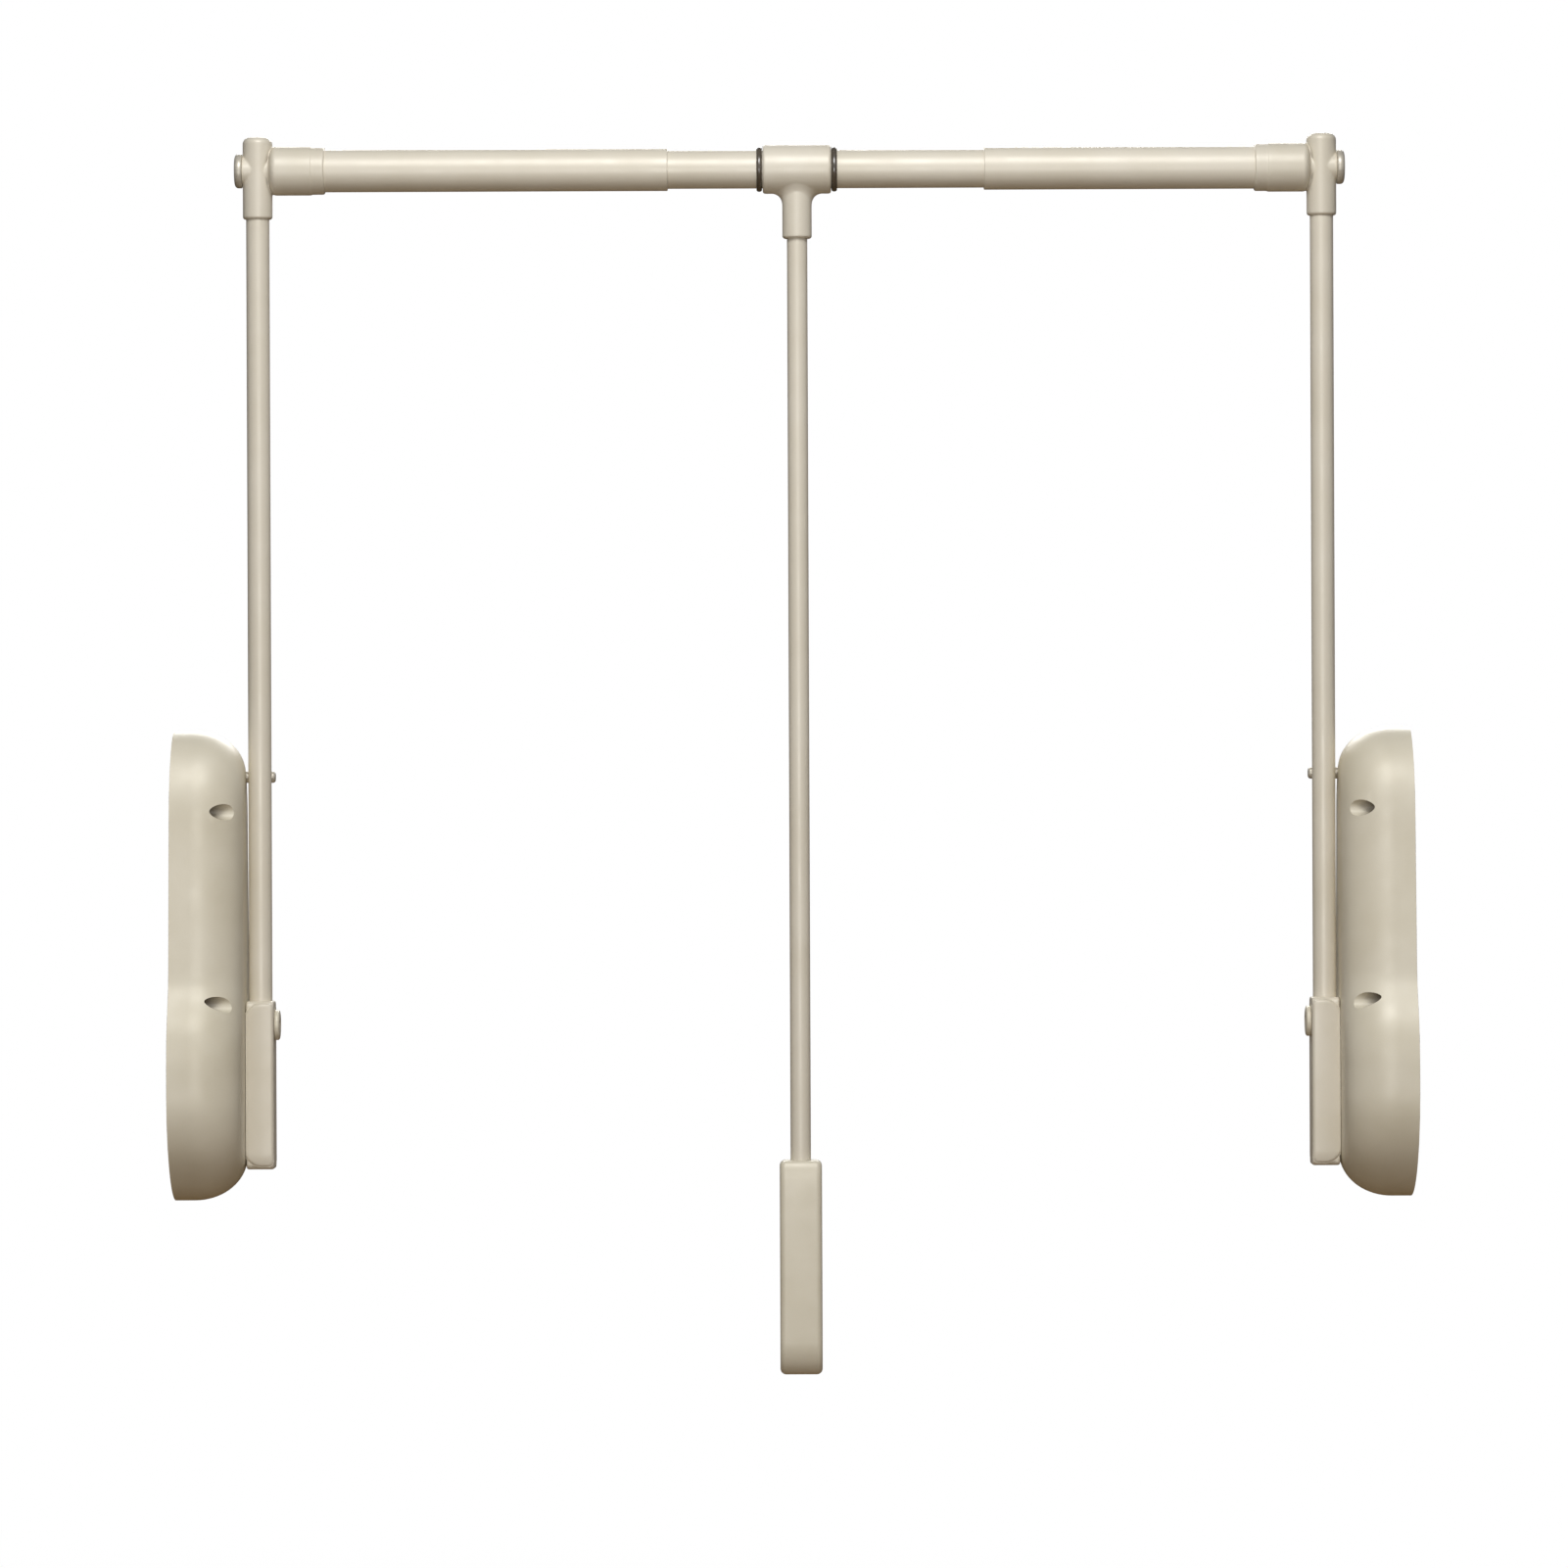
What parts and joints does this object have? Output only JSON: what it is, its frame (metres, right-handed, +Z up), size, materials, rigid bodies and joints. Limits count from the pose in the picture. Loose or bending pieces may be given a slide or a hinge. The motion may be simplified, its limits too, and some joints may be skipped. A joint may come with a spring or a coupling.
{
  "type": "pull-down closet rod",
  "caption": "Pull-down wardrobe rail: sprung arms on wall housings carry a telescopic hanging rod that a hanging pull handle brings down and forward.",
  "frame": {"origin": "left wall plane, on the axis that both arms swing about", "axes": "+X from the left wall to the right wall, +Y away from the user into the closet, +Z up"},
  "size_m": [0.85, 0.148, 0.8525],
  "materials": {
    "champagne_plastic": "satin pearl champagne moulding",
    "champagne_paint": "satin pearl champagne powder coat",
    "zinc_sheet": "bright zinc plate",
    "dark_steel": "oiled steel",
    "black_plastic": "matte black moulding",
    "black_rubber": "matte black ring"
  },
  "bodies": {
    "left_housing": {"left_housing_cover": "champagne_plastic", "left_base_plate": "zinc_sheet", "left_pivot_bush": "black_plastic", "left_spring_seat": "zinc_sheet", "left_damper_cylinder": "dark_steel", "left_stop_pin": "zinc_sheet", "left_lift_spring": "dark_steel"},
    "left_arm": {"left_pivot_shaft": "dark_steel", "left_crank": "dark_steel", "left_arm_lever": "champagne_paint", "left_clamp_screw": "champagne_plastic", "left_arm_tube": "champagne_paint", "left_corner_elbow": "champagne_paint", "left_elbow_bolt": "zinc_sheet", "left_rod_plug": "black_plastic", "left_outer_tube": "champagne_paint"},
    "left_drive": {"left_spring_yoke": "zinc_sheet", "left_guide_rod": "dark_steel", "left_crosshead": "zinc_sheet", "left_damper_rod": "dark_steel"},
    "right_housing": {"right_housing_cover": "champagne_plastic", "right_base_plate": "zinc_sheet", "right_pivot_bush": "black_plastic", "right_spring_seat": "zinc_sheet", "right_damper_cylinder": "dark_steel", "right_stop_pin": "zinc_sheet", "right_lift_spring": "dark_steel"},
    "right_arm": {"right_pivot_shaft": "dark_steel", "right_crank": "dark_steel", "right_arm_lever": "champagne_paint", "right_clamp_screw": "champagne_plastic", "right_arm_tube": "champagne_paint", "right_corner_elbow": "champagne_paint", "right_elbow_bolt": "zinc_sheet", "right_rod_plug": "black_plastic", "right_outer_tube": "champagne_paint"},
    "right_drive": {"right_spring_yoke": "zinc_sheet", "right_guide_rod": "dark_steel", "right_crosshead": "zinc_sheet", "right_damper_rod": "dark_steel"},
    "centre_rod": {"inner_tube": "champagne_paint", "left_stop_ring": "black_rubber", "right_stop_ring": "black_rubber"},
    "handle": {"tee": "champagne_paint", "pull_rod": "champagne_paint", "grip": "champagne_plastic"}
  },
  "joints": [
    {"name": "left_arm_swing", "type": "hinge", "parent": "left_housing", "child": "left_arm", "pos_m": [0, 0, 0], "axis": [1, 0, 0], "range_deg": [0, 110], "stiffness_Nm_per_rad": 6, "springref_deg": -28.65},
    {"name": "width_slide", "type": "slide", "parent": "left_housing", "child": "right_housing", "axis": [1, 0, 0], "range_m": [-0.15, 0.04]},
    {"name": "right_arm_swing", "type": "hinge", "parent": "right_housing", "child": "right_arm", "pos_m": [0.85, 0, 0], "axis": [1, 0, 0], "range_deg": [0, 110], "stiffness_Nm_per_rad": 6, "springref_deg": -28.65},
    {"name": "rod_telescope", "type": "slide", "parent": "left_arm", "child": "centre_rod", "axis": [1, 0, 0], "range_m": [-0.0563, 0.0151]},
    {"name": "handle_swivel", "type": "hinge", "parent": "centre_rod", "child": "handle", "pos_m": [0.4301, 0, 0.634], "axis": [1, 0, 0], "continuous": true},
    {"name": "left_drive_slide", "type": "slide", "parent": "left_housing", "child": "left_drive", "axis": [0, 0, 1], "range_m": [0, 0.0459], "deforming": ["left_lift_spring"]},
    {"name": "right_drive_slide", "type": "slide", "parent": "right_housing", "child": "right_drive", "axis": [0, 0, 1], "range_m": [0, 0.0459], "deforming": ["right_lift_spring"]}
  ],
  "couplings": [
    {"joint": "right_arm_swing", "follows": "left_arm_swing", "ratio": 1},
    {"joint": "rod_telescope", "follows": "width_slide", "ratio": 0.375},
    {"joint": "left_drive_slide", "follows": "left_arm_swing", "m_per_rad": 0.02389},
    {"joint": "right_drive_slide", "follows": "left_arm_swing", "m_per_rad": 0.02389}
  ]
}
